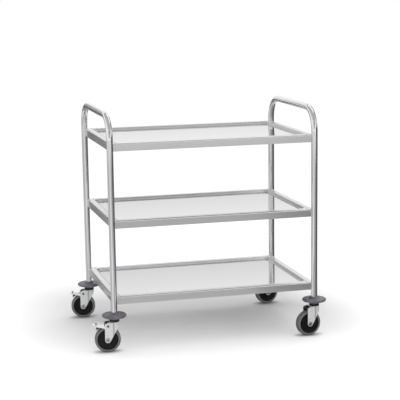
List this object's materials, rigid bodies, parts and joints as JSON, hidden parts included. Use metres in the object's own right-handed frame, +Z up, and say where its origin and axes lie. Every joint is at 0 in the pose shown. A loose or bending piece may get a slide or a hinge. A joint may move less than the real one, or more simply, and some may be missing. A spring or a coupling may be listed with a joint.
{
  "type": "service trolley",
  "caption": "Stainless food service trolley with bent tube ends as push handles, pressed tray shelves, bumper discs and swivel castors, braked at the left end.",
  "frame": {"origin": "on the floor, at the centre of the footprint, which reaches from the left brake pedals' tips to the right bumper discs", "axes": "+X along the shelves from the braked end to the other, +Y from the front long side to the rear one, +Z up"},
  "size_m": [0.9411, 0.64, 0.9155],
  "materials": {
    "stainless_tube": "polished stainless tube",
    "stainless_sheet": "satin stainless sheet",
    "fixings": "plain stainless",
    "zinc": "bright zinc plating",
    "bumper": "smooth grey rubber",
    "tyre": "grey non-marking rubber",
    "wheel_plastic": "moulded black plastic",
    "dust_seal": "moulded black plastic",
    "shoe_rubber": "black rubber",
    "nylon": "black nylon"
  },
  "bodies": {
    "chassis": {"left_end_frame": "stainless_tube", "right_end_frame": "stainless_tube", "bottom_shelf": "stainless_sheet", "middle_shelf": "stainless_sheet", "top_shelf": "stainless_sheet", "bottom_stiffener": "stainless_sheet", "middle_stiffener": "stainless_sheet", "top_stiffener": "stainless_sheet", "shelf_screws": "fixings", "rivet_nuts": "fixings", "front_left_tube_plug": "nylon", "front_left_bumper": "bumper", "front_left_stem": "zinc", "rear_left_tube_plug": "nylon", "rear_left_bumper": "bumper", "rear_left_stem": "zinc", "front_right_tube_plug": "nylon", "front_right_bumper": "bumper", "front_right_stem": "zinc", "rear_right_tube_plug": "nylon", "rear_right_bumper": "bumper", "rear_right_stem": "zinc"},
    "front_left_castor": {"front_left_fork": "zinc", "front_left_ball_ring": "zinc", "front_left_dust_ring": "dust_seal", "front_left_axle_sleeve": "zinc", "front_left_axle_bolt": "zinc", "front_left_axle_nut": "zinc", "front_left_brake_pin": "zinc"},
    "front_left_wheel": {"front_left_tyre": "tyre", "front_left_wheel_centre": "wheel_plastic"},
    "front_left_pedal": {"front_left_brake_pedal": "zinc", "front_left_brake_shoe": "shoe_rubber"},
    "rear_left_castor": {"rear_left_fork": "zinc", "rear_left_ball_ring": "zinc", "rear_left_dust_ring": "dust_seal", "rear_left_axle_sleeve": "zinc", "rear_left_axle_bolt": "zinc", "rear_left_axle_nut": "zinc", "rear_left_brake_pin": "zinc"},
    "rear_left_wheel": {"rear_left_tyre": "tyre", "rear_left_wheel_centre": "wheel_plastic"},
    "rear_left_pedal": {"rear_left_brake_pedal": "zinc", "rear_left_brake_shoe": "shoe_rubber"},
    "front_right_castor": {"front_right_fork": "zinc", "front_right_ball_ring": "zinc", "front_right_dust_ring": "dust_seal", "front_right_axle_sleeve": "zinc", "front_right_axle_bolt": "zinc", "front_right_axle_nut": "zinc"},
    "front_right_wheel": {"front_right_tyre": "tyre", "front_right_wheel_centre": "wheel_plastic"},
    "rear_right_castor": {"rear_right_fork": "zinc", "rear_right_ball_ring": "zinc", "rear_right_dust_ring": "dust_seal", "rear_right_axle_sleeve": "zinc", "rear_right_axle_bolt": "zinc", "rear_right_axle_nut": "zinc"},
    "rear_right_wheel": {"rear_right_tyre": "tyre", "rear_right_wheel_centre": "wheel_plastic"}
  },
  "joints": [
    {"name": "front_left_swivel", "type": "hinge", "parent": "chassis", "child": "front_left_castor", "pos_m": [-0.38716, -0.2725, 0.119], "axis": [0, 0, 1], "continuous": true},
    {"name": "front_left_roll", "type": "hinge", "parent": "front_left_castor", "child": "front_left_wheel", "pos_m": [-0.4139, -0.26874, 0.05], "axis": [0.1392, 0.9903, 0], "continuous": true},
    {"name": "front_left_brake", "type": "hinge", "parent": "front_left_castor", "child": "front_left_pedal", "pos_m": [-0.41241, -0.26895, 0.1045], "axis": [-0.1392, -0.9903, 0], "range_deg": [0, 10]},
    {"name": "rear_left_swivel", "type": "hinge", "parent": "chassis", "child": "rear_left_castor", "pos_m": [-0.38716, 0.2725, 0.119], "axis": [0, 0, 1], "continuous": true},
    {"name": "rear_left_roll", "type": "hinge", "parent": "rear_left_castor", "child": "rear_left_wheel", "pos_m": [-0.41375, 0.27719, 0.05], "axis": [0.1736, 0.9848, 0], "continuous": true},
    {"name": "rear_left_brake", "type": "hinge", "parent": "rear_left_castor", "child": "rear_left_pedal", "pos_m": [-0.41227, 0.27693, 0.1045], "axis": [-0.1736, -0.9848, 0], "range_deg": [0, 10]},
    {"name": "front_right_swivel", "type": "hinge", "parent": "chassis", "child": "front_right_castor", "pos_m": [0.42284, -0.2725, 0.119], "axis": [0, 0, 1], "continuous": true},
    {"name": "front_right_roll", "type": "hinge", "parent": "front_right_castor", "child": "front_right_wheel", "pos_m": [0.39604, -0.27579, 0.05], "axis": [-0.1219, 0.9925, 0], "continuous": true},
    {"name": "rear_right_swivel", "type": "hinge", "parent": "chassis", "child": "rear_right_castor", "pos_m": [0.42284, 0.2725, 0.119], "axis": [0, 0, 1], "continuous": true},
    {"name": "rear_right_roll", "type": "hinge", "parent": "rear_right_castor", "child": "rear_right_wheel", "pos_m": [0.39604, 0.26921, 0.05], "axis": [-0.1219, 0.9925, 0], "continuous": true}
  ]
}
